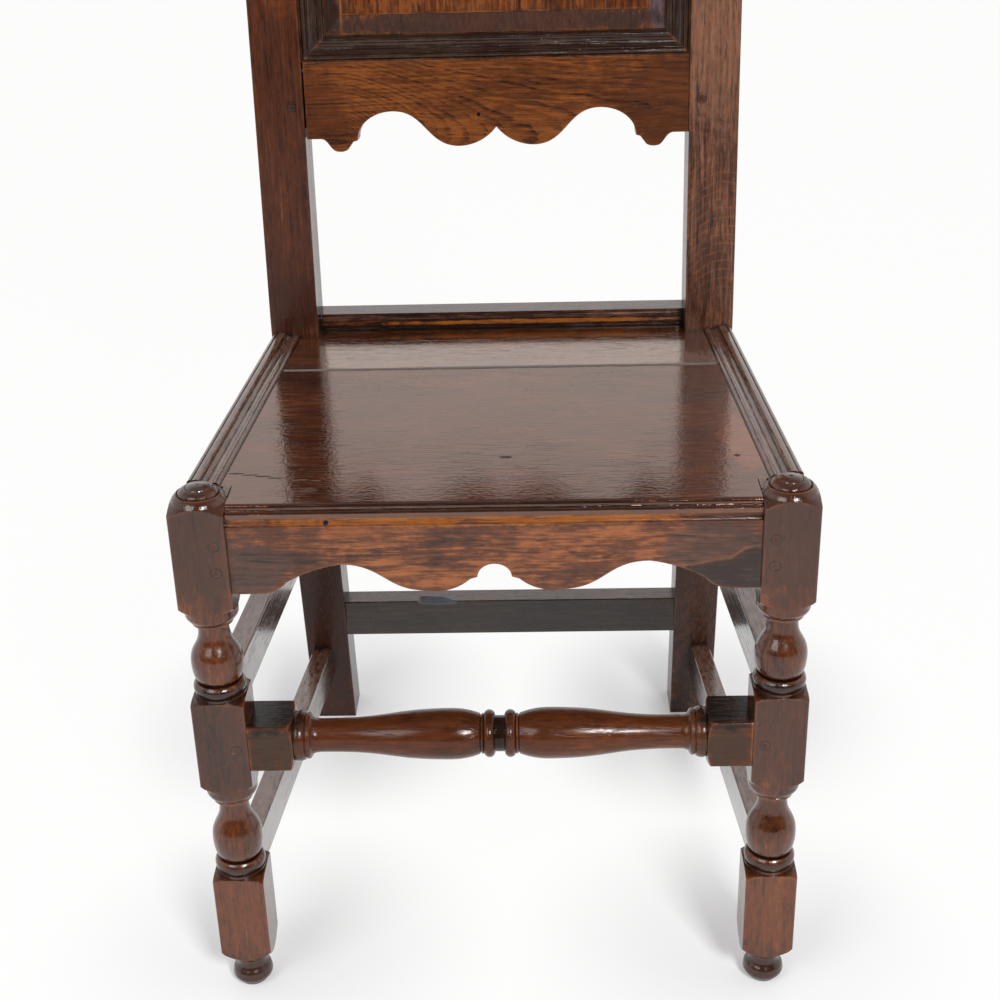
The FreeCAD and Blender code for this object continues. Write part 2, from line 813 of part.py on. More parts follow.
def seat_board_front():
    """The front board, notched round the legs, with its moulded nose between them."""
    wide_front = leg_size + board_gap
    outline = Outline(lambda y, z: V(board_gap - leg_inner, y, z), wide_front, seat_height)
    outline.follow(nose_shares, (nose_inset, nose_inset + nose_run),
                   (seat_height, seat_height - nose_drop))
    outline.line(nose_inset + nose_back, seat_height - nose_drop)
    outline.line(nose_inset + nose_back, board_bottom)
    outline.line(wide_front, board_bottom)
    nose = outline.face().extrude(ACROSS * (2 * (leg_inner - board_gap)))
    joint = board_split - board_split_gap / 2
    return eased(joined(nose, board_between(wide_front, joint)), joint)


def seat_board_rear():
    """The rear board, notched round the stiles, with a tongue in the back rail."""
    narrow_front = seat_run - board_gap
    joint = board_split + board_split_gap / 2
    wide = board_between(joint, narrow_front)
    half = stile_inner - board_gap
    narrow = box(-half, half, narrow_front, board_back, board_bottom, seat_height)
    tongue_bottom = board_bottom + (board_thickness - tongue_thickness) / 2
    tongue = box(-half, half, board_back, board_back + tongue_length, tongue_bottom,
                 tongue_bottom + tongue_thickness)
    return eased(joined(wide, narrow, tongue), joint)


def back_rail_with_tenons(half, bottom, top, peg_rise, pegs):
    """Adds tenons and pegs to half a rail of the back, and gives its mortise."""
    body = half.extrude(BACKWARD * back_thickness)
    tenon, mortise = tenon_across(stile_inner, back_tenon, back_tenon_front,
                                  back_tenon_front + tenon_thickness,
                                  bottom + back_tenon_margin, top - back_tenon_margin)
    start = raked_point(0, bottom + peg_rise)
    start.x = stile_inner + frame_peg_inset
    into = V(0, rake_cos, -rake_sin)
    pegs.add(start, into, back_tenon_front + tenon_thickness + peg_past, frame_peg_proud)
    return both_halves(joined(body, tenon)), mortise


def panel_groove(bottom, top):
    """The groove round the panel, as one slab to cut from rails and stiles."""
    reach = stile_inner + groove_depth
    return box(-reach, reach, groove_front, groove_front + groove_width, bottom, top)


def back_lower_rail(pegs):
    """The rail under the panel; its left shoulder has shrunk away from the stile."""
    half = scalloped_half(lambda x, h: V(x, back_inset, h), stile_inner, lower_rail_top,
                          lower_rail_start, lower_rail_scallop, back_scallop_shares)
    rail, mortise = back_rail_with_tenons(half, lower_rail_start, lower_rail_top, lower_peg_rise,
                                          pegs)
    shoulder = box(-stile_inner, shoulder_gap - stile_inner, back_inset,
                   back_inset + back_thickness, lower_rail_start, lower_rail_top)
    tenon = box(-stile_inner, shoulder_gap - stile_inner, back_tenon_front,
                back_tenon_front + tenon_thickness, lower_rail_start + back_tenon_margin,
                lower_rail_top - back_tenon_margin)
    return rail.cut(shoulder.cut(tenon)), mortise


def back_crest_rail(pegs):
    half = scalloped_half(lambda x, h: V(x, back_inset, h), stile_inner, crest_bottom,
                          crest_shoulder, -crest_scallop, back_scallop_shares)
    return back_rail_with_tenons(half, crest_bottom, crest_shoulder, crest_height / 2, pegs)


def back_panel():
    """The panel: thin edges in the grooves, a bevel, and a raised field in front."""
    reach = stile_inner + panel_bury
    edge = box(-reach, reach, panel_front, groove_front + groove_width - panel_edge_gap,
               lower_rail_top - panel_bury, crest_bottom + panel_bury)
    sight = stile_inner - strip_width - strip_inset
    low = lower_rail_top + strip_width + strip_inset
    high = crest_bottom - strip_width - strip_inset
    field_front = back_inset + field_inset
    bevel_front = field_front + field_step
    bevel_back = bevel_front + bevel_drop
    shoulder = box(-sight, sight, bevel_back, panel_front, low, high)
    bevel = Part.makeWedge(bevel_width - sight, bevel_front, low + bevel_height, low, -sight,
                           sight - bevel_width, bevel_back, high - bevel_height, high, sight)
    field = box(bevel_width - sight, sight - bevel_width, field_front, bevel_front,
                low + bevel_height, high - bevel_height)
    return joined(edge, shoulder, bevel, field)


def panel_mouldings():
    """Four mitred strips round the panel, by their place."""
    depths = (groove_front - strip_depth, groove_front)
    wide = stile_inner
    sight = stile_inner - strip_width
    low = lower_rail_top
    high = crest_bottom
    strips = {}
    for name, start, way in (("bottom", low, 1), ("top", high, -1)):
        outline = Outline(lambda u, t: V(-wide, t, start + way * u), 0, groove_front)
        outline.follow(strip_shares, (0, strip_width), depths)
        run = outline.face().extrude(ACROSS * (2 * wide))
        mitre = prism([V(-wide, 0, start), V(wide, 0, start), V(sight, 0, start + way * strip_width),
                       V(-sight, 0, start + way * strip_width)], BACKWARD * overall_depth)
        strips[name] = run.common(mitre)
    outline = Outline(lambda u, t: V(wide - u, t, low), 0, groove_front)
    outline.follow(strip_shares, (0, strip_width), depths)
    run = outline.face().extrude(UP * (high - low))
    mitre = prism([V(wide, 0, low), V(wide, 0, high), V(sight, 0, high - strip_width),
                   V(sight, 0, low + strip_width)], BACKWARD * overall_depth)
    strips["right"] = run.common(mitre)
    strips["left"] = mirrored(strips["right"])
    return strips


def save(name, shape):
    """Writes one piece, with the chair's middle at Y = 0."""
    placed = shape.copy()
    placed.translate(V(0, -overall_depth / 2, 0))
    solids = placed.Solids
    if len(solids) == 1:
        placed = solids[0]
    print(name, len(solids), placed.isValid(), round(placed.Volume))
    placed.exportStep(os.path.join("parts", name + ".step"))


def main():
    os.makedirs("parts", exist_ok=True)
    front_pegs = Pegs()
    side_pegs = Pegs()
    rear_pegs = Pegs()
    frame_pegs = Pegs()

    front_rail, patch, front_rail_mortise = front_seat_rail(front_pegs)
    spindle, spindle_mortise = front_stretcher(front_pegs)
    side_rail, side_rail_front, side_rail_rear = side_seat_rail(side_pegs)
    upper_tenon = leg_size - (leg_size + tenon_thickness) / 2 - tenon_web
    upper, upper_front, upper_rear = side_stretcher(
        mid_block_top - side_stretcher_drop, upper_stretcher_height, 0.0, upper_tenon, side_pegs)
    lower, lower_front, lower_rear = side_stretcher(
        low_block_top - side_stretcher_drop, lower_stretcher_height, lower_stretcher_fall,
        lower_stretcher_tenon, side_pegs)
    back_rail, back_rail_mortise = back_seat_rail(rear_pegs)
    rear_bar, rear_bar_mortise = rear_stretcher(rear_pegs)
    lower_rail, lower_rail_mortise = back_lower_rail(frame_pegs)
    crest, crest_mortise = back_crest_rail(frame_pegs)
    groove = panel_groove(lower_rail_top - groove_depth, crest_bottom + groove_depth)

    holes = []
    for pegs in (front_pegs, side_pegs, rear_pegs, frame_pegs):
        holes += pegs.holes
    holes += [mirrored(hole) for hole in holes]

    leg = without(leg_blank(), [front_rail_mortise, spindle_mortise, side_rail_front,
                                upper_front, lower_front] + holes)
    stile = without(stile_blank(), [side_rail_rear, upper_rear, lower_rear, back_rail_mortise,
                                    rear_bar_mortise, raked(lower_rail_mortise),
                                    raked(crest_mortise), raked(groove)] + holes)
    pairs = {
        "front_leg": leg,
        "rear_stile": stile,
        "side_seat_rail": without(side_rail, holes),
        "upper_side_stretcher": without(upper, holes),
        "lower_side_stretcher": without(lower, holes),
    }
    for name, shape in pairs.items():
        save(name + "_right", shape)
        save(name + "_left", mirrored(shape))
    save("front_seat_rail", without(front_rail, holes))
    save("apron_patch", without(patch, holes))
    save("front_stretcher", without(spindle, holes))
    save("back_seat_rail", without(back_rail, holes))
    save("rear_stretcher", without(rear_bar, holes))
    save("back_lower_rail", without(raked(lower_rail.cut(groove)), holes))
    save("back_crest_rail", without(raked(crest.cut(groove)), holes))
    save("back_panel", raked(back_panel()))
    for place, strip in panel_mouldings().items():
        save("panel_moulding_" + place, raked(strip))
    save("seat_board_front", seat_board_front())
    save("seat_board_rear", seat_board_rear())
    save("pegs_front", front_pegs.group())
    save("pegs_sides", side_pegs.group())
    save("pegs_rear", rear_pegs.group())
    save("pegs_back_frame", frame_pegs.group())


main()
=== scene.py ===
import math

import bpy
from mathutils import Matrix, Vector

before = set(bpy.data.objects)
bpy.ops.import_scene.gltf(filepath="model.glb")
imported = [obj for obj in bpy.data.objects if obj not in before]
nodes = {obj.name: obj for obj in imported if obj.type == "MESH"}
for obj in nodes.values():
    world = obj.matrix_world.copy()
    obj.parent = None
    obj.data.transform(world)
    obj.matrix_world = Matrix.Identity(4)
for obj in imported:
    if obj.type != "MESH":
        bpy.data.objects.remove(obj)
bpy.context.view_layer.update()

# Camera: fitted to the chair's straight edges in the photograph
CAMERA_PLACE = Vector((0.0378, -1.2908, 0.9712))
CAMERA_YAW = math.radians(-1.74)
CAMERA_PITCH = math.radians(25.67)
CAMERA_ROLL = math.radians(-1.58)
CAMERA_LENS = 58.08

# Grain directions, as turns that bring the length of a piece to the texture's X
RAKE = math.radians(4.57)
ACROSS = (0.0, 0.0, 0.0)
UPRIGHT = (0.0, math.pi / 2, 0.0)
RAKED = (RAKE, math.pi / 2, 0.0)
RAKED_ACROSS = (RAKE, 0.0, 0.0)
SPLAY = math.radians(3.1)
BACK_LEFT = (0.0, 0.0, -math.pi / 2 + SPLAY)
BACK_RIGHT = (0.0, 0.0, -math.pi / 2 - SPLAY)


class Graph:
    """Adds shader nodes to a tree and joins them."""

    def __init__(self, tree):
        self.tree = tree
        tree.nodes.clear()

    def add(self, kind, inputs=(), **settings):
        node = self.tree.nodes.new(kind)
        for key, value in settings.items():
            setattr(node, key, value)
        for key, value in dict(inputs).items():
            self.feed(node.inputs[key], value)
        return node

    def feed(self, socket, value):
        if isinstance(value, bpy.types.NodeSocket):
            self.tree.links.new(value, socket)
        else:
            socket.default_value = value

    def sum(self, operation, *values):
        node = self.add("ShaderNodeMath", operation=operation)
        for socket, value in zip(node.inputs, values):
            self.feed(socket, value)
        return node.outputs[0]

    def vector(self, operation, *values):
        node = self.add("ShaderNodeVectorMath", operation=operation)
        for socket, value in zip(node.inputs, values):
            self.feed(socket, value)
        return node.outputs["Value" if operation == "LENGTH" else "Vector"]

    def parts(self, vector):
        return self.add("ShaderNodeSeparateXYZ", {"Vector": vector}).outputs

    def joined(self, x=0.0, y=0.0, z=0.0):
        return self.add("ShaderNodeCombineXYZ", {"X": x, "Y": y, "Z": z}).outputs[0]

    def times(self, first, *others):
        for other in others:
            first = self.sum("MULTIPLY", first, other)
        return first

    def shifted(self, value, noise, amount):
        """A value plus a noise that swings by an amount either way of its middle."""
        return self.sum("MULTIPLY_ADD", self.sum("SUBTRACT", noise, 0.5), 2 * amount, value)

    def clamped(self, value):
        return self.add("ShaderNodeClamp", {"Value": value}).outputs[0]

    def span(self, value, low, high, to_low=0.0, to_high=1.0):
        """A soft step from one value to another as the input goes from low to high."""
        node = self.add("ShaderNodeMapRange",
                        {"Value": value, "From Min": low, "From Max": high,
                         "To Min": to_low, "To Max": to_high},
                        interpolation_type="SMOOTHSTEP")
        return node.outputs["Result"]

    def mix(self, factor, first, second, blend="MIX"):
        node = self.add("ShaderNodeMix", data_type="RGBA", blend_type=blend)
        self.feed(node.inputs[0], factor)
        self.feed(node.inputs[6], first)
        self.feed(node.inputs[7], second)
        return node.outputs[2]

    def moved(self, vector, place=(0, 0, 0), turn=(0, 0, 0), scale=(1, 1, 1)):
        node = self.add("ShaderNodeMapping", {"Vector": vector, "Location": place,
                                              "Rotation": turn, "Scale": scale})
        return node.outputs[0]

    def noise(self, vector, scale, detail=3.0, roughness=0.55, distortion=0.0):
        node = self.add("ShaderNodeTexNoise",
                        {"Vector": vector, "Scale": scale, "Detail": detail,
                         "Roughness": roughness, "Distortion": distortion})
        return node.outputs["Fac"]

    def occlusion(self, reach, **settings):
        node = self.add("ShaderNodeAmbientOcclusion", {"Distance": reach}, **settings)
        return node.outputs["AO"]


def rgb(red, green, blue):
    return (red, green, blue, 1.0)


# Colours of the marks and the dents
AMBER = rgb(0.270, 0.0800, 0.0100)
BLACK = rgb(0.004, 0.003, 0.003)
DUSK = rgb(0.022, 0.010, 0.008)
SCUFF = rgb(0.18, 0.14, 0.125)
GREY = rgb(0.050, 0.030, 0.024)
UMBER = rgb(0.034, 0.011, 0.006)
OLIVE = rgb(0.036, 0.022, 0.013)
# Painted highlight and reflection colour: a blue-grey glint
GLINT_BLUE_GREY = rgb(0.090, 0.105, 0.150)
ORANGE = rgb(0.230, 0.060, 0.012)
TAN = rgb(0.30, 0.17, 0.09)
ROSE = rgb(0.235, 0.105, 0.062)
CHESTNUT = rgb(0.060, 0.015, 0.0050)
PLUM = rgb(0.050, 0.014, 0.0060)

# Noise scales, once along the fibres and twice across them
SWAY_SCALE = (7, 14, 14)
STREAK_SCALE = (16, 420, 420)
FINE_SCALE = (42, 620, 620)
BLOTCH_SCALE = (11, 24, 24)
DAPPLE_SCALE = (80, 240, 240)
RING_SCALE = (14, 40, 40)

# Noise scales that are the same every way
RAGGED_SCALE = 110.0
RUB_SCALE = 45.0
PEEL_SCALE = 260.0
FLECK_SWAY_SCALE = 35.0
FLECK_BREAK_SCALE = 70.0

# How far each noise swings the tone of a look whose own share is 1
STREAK_SWING = 0.75
BLOTCH_SWING = 0.70
DAPPLE_SWING = 0.80
FINE_SWING = 0.50
RING_DARKENING = 0.50
DARK_TO_MID = (0.12, 0.52)
MID_TO_LIGHT = (0.48, 0.88)

# Relief: heights in units of the bump's reach, which is in metres
BUMP_REACH = 0.00030
PORE_DEPTH = 0.8
RING_DEPTH = 0.15
PEEL_HEIGHT = 8.0

# Roughness that is added by patches, pores and dents, and the coat of wax
BLOTCH_ROUGH = 0.08
PORE_ROUGH = 0.12
DENT_ROUGH = 0.9
COAT_ROUGH = 0.1
COAT_IOR = 1.5

# Moves that give each piece its own stretch of the noises
SEED_STEP = (0.37, 0.11, 0.0)
RING_SEED_STEP = 1.7

# How far the fibres sway from straight, in metres
FIBRE_SWAY = (0.0, 0.008, 0.008)

# Rings round the pegs, by the distance from a peg's middle
PEG_RIM_INSIDE = (0.0031, 0.0036)
PEG_RIM_OUTSIDE = (0.0052, 0.0042)
PEG_UNWORN = (0.0055, 0.0080)

# A fan's rings: how steeply they start and how fast they flatten
FAN_START = 0.79
FAN_FLATTENING = 10.2

# Ray flecks: arcs that start at a stile's inner side, in a band of its height
FLECK_START = 0.168
FLECK_SLOPE = 1.15
FLECK_BEND = -15.0
FLECK_SWAY = 0.003
FLECK_GAP = 0.0080
FLECK_BAND_FOOT = (0.475, 0.520)
FLECK_BAND_HEAD = (0.630, 0.590)
FLECK_STRENGTH = 0.35

# Looks of the oak: colours, how strong the grain is, how the wax has worn, and the painted shade
# and sheen
PLAIN = {
    # colours of the wood, from its darkest streaks to its rubbed edges, and of the wax
    "dark": rgb(0.017, 0.0052, 0.0026),
    "mid": rgb(0.078, 0.0205, 0.0060),
    "light": rgb(0.190, 0.0520, 0.0130),
    "worn": rgb(0.270, 0.0850, 0.0230),
    "wax": rgb(0.0070, 0.0038, 0.0030),
    # how light the tone lies on the whole, and the growth rings
    "balance": 0.5,
    "ring_gap": 0.0045,
    "ring_strength": 0.35,
    "heart": (0.0, 0.07, 0.10),
    "fan": False,
    # shares of the pores and of the noises
    "pores": 0.5,
    "streaks": 0.5,
    "blotches": 0.7,
    "mottle": 0.5,
    # wear on the edges, wax in the hollows that the occlusion deepens into painted shade, and a
    # painted sheen that greys the faces that look up
    "wear": 0.55,
    "wear_reach": 0.0024,
    "grime": 0.85,
    "grime_reach": 0.012,
    "grime_limits": (0.80, 0.30),
    "tops": 0.0,
    # gloss
    "rough": 0.20,
    "specular": 0.45,
    "ior": 1.5,
    "tint": rgb(1.0, 1.0, 1.0),
    "coat": 0.2,
    # relief
    "bump": 0.3,
    "waves": 0.4,
    "pits": 0.1,
    # marks and dents at their places, ray flecks, and the pegs that are ringed with wax
    "marks": (),
    "dents": (),
    "flecks": False,
    "pegs": (),
}
# Painted sheen: the grey that lightens the faces that look up
TOP_SHEEN_GREY = rgb(0.150, 0.080, 0.057)


def look(base=PLAIN, **changes):
    return {**base, **changes}


def growth(g, local, style, seed):
    """Growth rings round a heart line; a fan's rings open out to one side only."""
    x, y, z = g.parts(local)
    heart_x, heart_y, heart_z = style["heart"]
    if style["fan"]:
        run = g.sum("MAXIMUM", g.sum("SUBTRACT", x, heart_x), 0.0)
        flatter = g.sum("DIVIDE", run, g.sum("MULTIPLY_ADD", run, FAN_FLATTENING, FAN_START))
        away = g.joined(x=flatter, z=g.sum("SUBTRACT", z, heart_z))
    else:
        away = g.joined(y=g.sum("ADD", y, heart_y), z=g.sum("ADD", z, heart_z))
    swing = g.noise(g.moved(local, place=(seed, 0, 0), scale=RING_SCALE), 1.0, 3.0, 0.6)
    radius = g.shifted(g.vector("LENGTH", away), swing, style["ring_gap"])
    turns = g.sum("DIVIDE", radius, style["ring_gap"])
    phase = g.sum("FRACT", turns)
    line = g.times(g.span(phase, 0.35, 0.90), g.span(phase, 1.0, 0.94))
    uneven = g.noise(g.joined(x=turns, y=x), 0.9, 2.0)
    return g.times(line, g.span(uneven, 0.36, 0.62, 0.15, 1.0))


def ray_flecks(g, place):
    """Thin pale arcs that rise to the right across a stile's face, low on the back."""
    x, _, z = g.parts(place)
    run = g.sum("SUBTRACT", x, FLECK_START)
    rise = g.times(run, g.sum("MULTIPLY_ADD", run, FLECK_BEND, FLECK_SLOPE))
    bent = g.shifted(g.sum("SUBTRACT", z, rise), g.noise(place, FLECK_SWAY_SCALE, 2.0), FLECK_SWAY)
    phase = g.sum("FRACT", g.sum("DIVIDE", bent, FLECK_GAP))
    line = g.times(g.span(phase, 0.70, 0.86), g.span(phase, 1.0, 0.90))
    band = g.times(g.span(z, *FLECK_BAND_FOOT), g.span(z, *FLECK_BAND_HEAD))
    return g.times(line, band, g.span(g.noise(place, FLECK_BREAK_SCALE, 3.0), 0.36, 0.50))


def patch(g, place, centre, half, ragged):
    """A mask that is full inside a soft ragged ellipsoid."""
    offset = g.moved(place, place=[-c / h for c, h in zip(centre, half)],
                     scale=[1 / h for h in half])
    return g.span(g.sum("ADD", g.vector("LENGTH", offset), ragged), 1.25, 0.75)


class Grain:
    """The noises that the colour, the gloss and the relief of one piece share."""

    def __init__(self, g, place, style, turn, seed):
        along = g.moved(place, turn=turn)
        local = g.moved(along, place=[step * seed for step in SEED_STEP])
        sway = g.add("ShaderNodeTexNoise", {"Vector": g.moved(local, scale=SWAY_SCALE),
                                            "Scale": 1.0, "Detail": 1.0}).outputs["Color"]
        fibres = g.vector("MULTIPLY_ADD", sway, FIBRE_SWAY, local)
        self.streak = g.noise(g.moved(fibres, scale=STREAK_SCALE), 1.0, 5.0, 0.65)
        self.fine = g.noise(g.moved(fibres, scale=FINE_SCALE), 1.0, 3.0, 0.55)
        self.blotch = g.noise(g.moved(local, scale=BLOTCH_SCALE), 1.0, 4.0, 0.6)
        self.dapple = g.noise(g.moved(local, scale=DAPPLE_SCALE), 1.0, 5.0, 0.7)
        rings = growth(g, along, style, RING_SEED_STEP * seed)
        self.early = g.times(rings, g.span(self.fine, 0.38, 0.56))
        self.pores = g.times(g.span(self.fine, 0.54, 0.62),
                             g.sum("MULTIPLY_ADD", self.early, 0.5, 0.5))
        self.ragged = g.shifted(0.0, g.noise(place, RAGGED_SCALE, 4.0, 0.65), 0.75)


def wood_colour(g, grain, style):
    """The colour of the wood by itself, with a painted sheen that greys the faces that look up."""
    tone = g.shifted(style["balance"], grain.streak, STREAK_SWING * style["streaks"])
    tone = g.shifted(tone, grain.blotch, BLOTCH_SWING * style["blotches"])
    tone = g.shifted(tone, grain.dapple, DAPPLE_SWING * style["mottle"])
    tone = g.shifted(tone, grain.fine, FINE_SWING * style["streaks"])
    tone = g.sum("SUBTRACT", tone, g.times(grain.early, RING_DARKENING * style["ring_strength"]))
    colour = g.mix(g.span(tone, *DARK_TO_MID), style["dark"], style["mid"])
    colour = g.mix(g.span(tone, *MID_TO_LIGHT), colour, style["light"])
    # painted sheen: faces that look up are mixed towards a pale grey
    if style["tops"]:
        _, _, upward = g.parts(g.add("ShaderNodeNewGeometry").outputs["Normal"])
        top_sheen_mask = g.times(g.span(upward, 0.6, 0.95), g.span(grain.dapple, 0.30, 0.60), style["tops"])
        colour = g.mix(top_sheen_mask, colour, TOP_SHEEN_GREY)
    return colour


def marked(g, place, grain, style, colour):
    """Adds the marks, which are stains and scuffs and also painted shade, highlights and
    reflections, then the flecks and then the open pores.
    """
    grained = g.span(g.shifted(grain.streak, grain.dapple, 0.5), 0.20, 0.55, 0.45, 1.0)
    for centre, half, paint, strength in style["marks"]:
        mask = patch(g, place, centre, half, grain.ragged)
        colour = g.mix(g.times(mask, grained, strength), colour, paint)
    if style["flecks"]:
        colour = g.mix(g.times(ray_flecks(g, place), FLECK_STRENGTH), colour, style["worn"])
    return g.mix(g.times(grain.pores, style["pores"]), colour, style["wax"])


def dent_mask(g, place, grain, style):
    """A mask of the small holes and cracks."""
    mask = 0.0
    for centre, half in style["dents"]:
        mask = g.sum("MAXIMUM", mask, patch(g, place, centre, half, g.times(grain.ragged, 0.6)))
    return mask


def weathered(g, place, grain, style, colour):
    """Adds the wax round the pegs, the rubbed edges and the wax in the hollows, which the occlusion
    spreads into painted shade in corners and between parts.
    """
    rub = g.span(g.noise(place, RUB_SCALE, 4.0, 0.65), 0.36, 0.62)
    mirror = g.vector("ABSOLUTE", place)
    for centre in style["pegs"]:
        away = g.vector("LENGTH", g.moved(mirror, place=[-c for c in centre]))
        rim = g.times(g.span(away, *PEG_RIM_INSIDE), g.span(away, *PEG_RIM_OUTSIDE))
        colour = g.mix(g.times(rim, g.span(grain.dapple, 0.38, 0.58), 0.85), colour, style["wax"])
        rub = g.times(rub, g.span(away, *PEG_UNWORN))
    edge = g.span(g.occlusion(style["wear_reach"], inside=True, only_local=True, samples=6),
                  0.90, 0.50)
    colour = g.mix(g.times(edge, rub, style["wear"]), colour, style["worn"])
    # wax in the hollows and painted shade: darkens wherever the occlusion finds nearby surfaces, in
    # corners and between parts
    wax_and_shade_in_hollows = g.span(g.shifted(g.occlusion(style["grime_reach"], samples=8), grain.dapple, 0.12),
                    *style["grime_limits"])
    return g.mix(g.times(wax_and_shade_in_hollows, style["grime"]), colour, style["wax"])


def relief(g, place, grain, style, dents):
    """The bump of the fibres, the pores and the dents, and the peel of the wax."""
    sunk = g.sum("MULTIPLY_ADD", grain.early, RING_DEPTH, dents)
    height = g.sum("SUBTRACT", g.times(grain.streak, style["waves"]),
                   g.times(grain.pores, PORE_DEPTH))
    height = g.sum("SUBTRACT", height, sunk)
    peel = g.noise(place, PEEL_SCALE, 3.0, 0.6)
    height = g.sum("MULTIPLY_ADD", peel, style["pits"] * PEEL_HEIGHT, height)
    return g.add("ShaderNodeBump", {"Strength": style["bump"], "Distance": BUMP_REACH,
                                    "Height": height}).outputs[0]


def oak(name, style, turn, seed):
    """A waxed oak material: growth rings, pores, patches, worn edges, wax and painted shade in the
    hollows, and a painted sheen on the faces that look up.
    """
    material = bpy.data.materials.new(name)
    material.use_nodes = True
    g = Graph(material.node_tree)
    place = g.add("ShaderNodeTexCoord").outputs["Object"]
    grain = Grain(g, place, style, turn, seed)
    dents = dent_mask(g, place, grain, style)
    colour = marked(g, place, grain, style, wood_colour(g, grain, style))
    colour = weathered(g, place, grain, style, g.mix(dents, colour, BLACK))
    rough = g.shifted(style["rough"], grain.blotch, BLOTCH_ROUGH)
    rough = g.sum("ADD", rough, g.sum("MULTIPLY_ADD", grain.pores, PORE_ROUGH,
                                      g.times(dents, DENT_ROUGH)))
    bump = relief(g, place, grain, style, dents)
    shader = g.add("ShaderNodeBsdfPrincipled",
                   {"Base Color": colour, "Roughness": rough, "Normal": bump, "IOR": style["ior"],
                    "Specular IOR Level": style["specular"], "Specular Tint": style["tint"],
                    "Coat Weight": style["coat"], "Coat Roughness": COAT_ROUGH,
                    "Coat IOR": COAT_IOR, "Coat Normal": bump})
    g.add("ShaderNodeOutputMaterial", {"Surface": shader.outputs[0]})
    return material


def dress(node, material):
    """Gives a CAD piece its material in every slot."""
    mesh = nodes[node].data
    if not mesh.materials:
        mesh.materials.append(material)
    for index in range(len(mesh.materials)):
        mesh.materials[index] = material


# Places in the chair, in metres
LEG_X = 0.219
LEG_Y = -0.214
LEG_FACE = -0.235
RAIL_FACE = -0.231
STILE_X = 0.193
BACK_FACE = 0.150
PANEL_MIDDLE = 0.165
SEAT_TOP = 0.458

# Marks have a centre, half sizes, a colour and a strength; dents a centre and half sizes
LEG_PEGS = ((0.2075, 0.235, 0.406), (0.2075, 0.235, 0.428), (0.2075, 0.235, 0.2475))
FRAME_PEGS = ((0.182, 0.148, 0.670),)
LEG_TOP = ((-LEG_X, LEG_FACE, 0.43), (0.05, 0.05, 0.050), UMBER, 0.75)
LEG_MIDDLE = ((-LEG_X, LEG_FACE, 0.25), (0.05, 0.03, 0.045), UMBER, 0.55)
LEG_FOOT = ((-LEG_X, LEG_Y, 0.010), (0.05, 0.05, 0.022), DUSK, 0.75)
LEG_BLOCK = ((-LEG_X, LEG_FACE, 0.08), (0.05, 0.03, 0.040), ORANGE, 0.30)
LEG_NECK = ((-LEG_X, LEG_Y, 0.1245), (0.05, 0.05, 0.0060), BLACK, 0.75)
LEG_WAIST = ((-LEG_X, LEG_Y, 0.2955), (0.05, 0.05, 0.0060), BLACK, 0.75)
LEG_MARKS = (LEG_TOP, LEG_MIDDLE, LEG_FOOT, LEG_BLOCK, LEG_NECK, LEG_WAIST)
TURNED = look(balance=0.54, rough=0.18, pits=0.12, ring_strength=0.2, pores=0.6, mottle=0.55,
              blotches=0.8, streaks=0.4, coat=0.30, grime_reach=0.014, grime=0.95, wear=0.8,
              wear_reach=0.003, pegs=LEG_PEGS)


def both_sides(*marks):
    """The same marks at the left and at the right."""
    right = [((-centre[0], *centre[1:]), *rest) for centre, *rest in marks]
    return marks + tuple(right)


LEG_LEFT = look(TURNED, marks=both_sides(*LEG_MARKS) + (
    # painted highlight: a tan spot on the lower-left rim of the middle peg
    ((-0.2095, LEG_FACE, 0.2455), (0.0016, 0.004, 0.0016), TAN, 0.9),
    ((-LEG_X, LEG_Y, 0.467), (0.014, 0.012, 0.006), GREY, 0.8),
))
LEG_RIGHT = look(TURNED, marks=both_sides(*LEG_MARKS),
                 dents=(((LEG_X, LEG_Y, 0.469), (0.0014, 0.0014, 0.004)),))
SPINDLE = look(TURNED, balance=0.50, mottle=0.3, blotches=0.5, pegs=(), coat=0.10, specular=0.25,
               marks=both_sides(
                   ((-0.180, LEG_Y, 0.247), (0.030, 0.03, 0.03), OLIVE, 0.85),
                   ((-0.184, LEG_Y, 0.2685), (0.030, 0.03, 0.008), BLACK, 0.85),
                   ((-0.002, LEG_Y, 0.247), (0.005, 0.03, 0.03), BLACK, 0.7),
               ))
STILE_LEFT = look(balance=0.50, mid=rgb(0.062, 0.0155, 0.0048), light=rgb(0.135, 0.036, 0.010),
                  ring_strength=0.1, streaks=0.7, pores=0.6, blotches=0.3, mottle=0.5, rough=0.24,
                  specular=0.3, coat=0.05, wear=0.8, pegs=FRAME_PEGS, marks=(
                      ((-0.185, BACK_FACE, 0.79), (0.018, 0.05, 0.040), ORANGE, 0.25),
                      # painted shade: darker where the stile meets the seat, and over the leg below
                      # the seat
                      ((-STILE_X, BACK_FACE, 0.49), (0.040, 0.05, 0.030), DUSK, 0.5),
                      ((-STILE_X, BACK_FACE, 0.20), (0.040, 0.30, 0.220), DUSK, 0.7),
                  ))
STILE_RIGHT = look(balance=0.56, mid=rgb(0.082, 0.0270, 0.0115), light=rgb(0.20, 0.080, 0.042),
                   ring_strength=0.3, pores=0.9, streaks=1.1, blotches=0.5, rough=0.26, bump=0.5,
                   specular=0.35, coat=0.05, flecks=True, pegs=FRAME_PEGS, marks=(
                       ((0.200, BACK_FACE, 0.76), (0.045, 0.05, 0.120), ROSE, 0.5),
                       # painted shade: darker where the stile meets the seat, and over the leg
                       # below the seat
                       ((0.185, BACK_FACE, 0.50), (0.035, 0.05, 0.040), DUSK, 0.35),
                       ((STILE_X, BACK_FACE, 0.20), (0.040, 0.30, 0.220), DUSK, 0.7),
                       ((0.184, 0.130, 0.588), (0.005, 0.02, 0.003), BLACK, 0.5),
                   ))
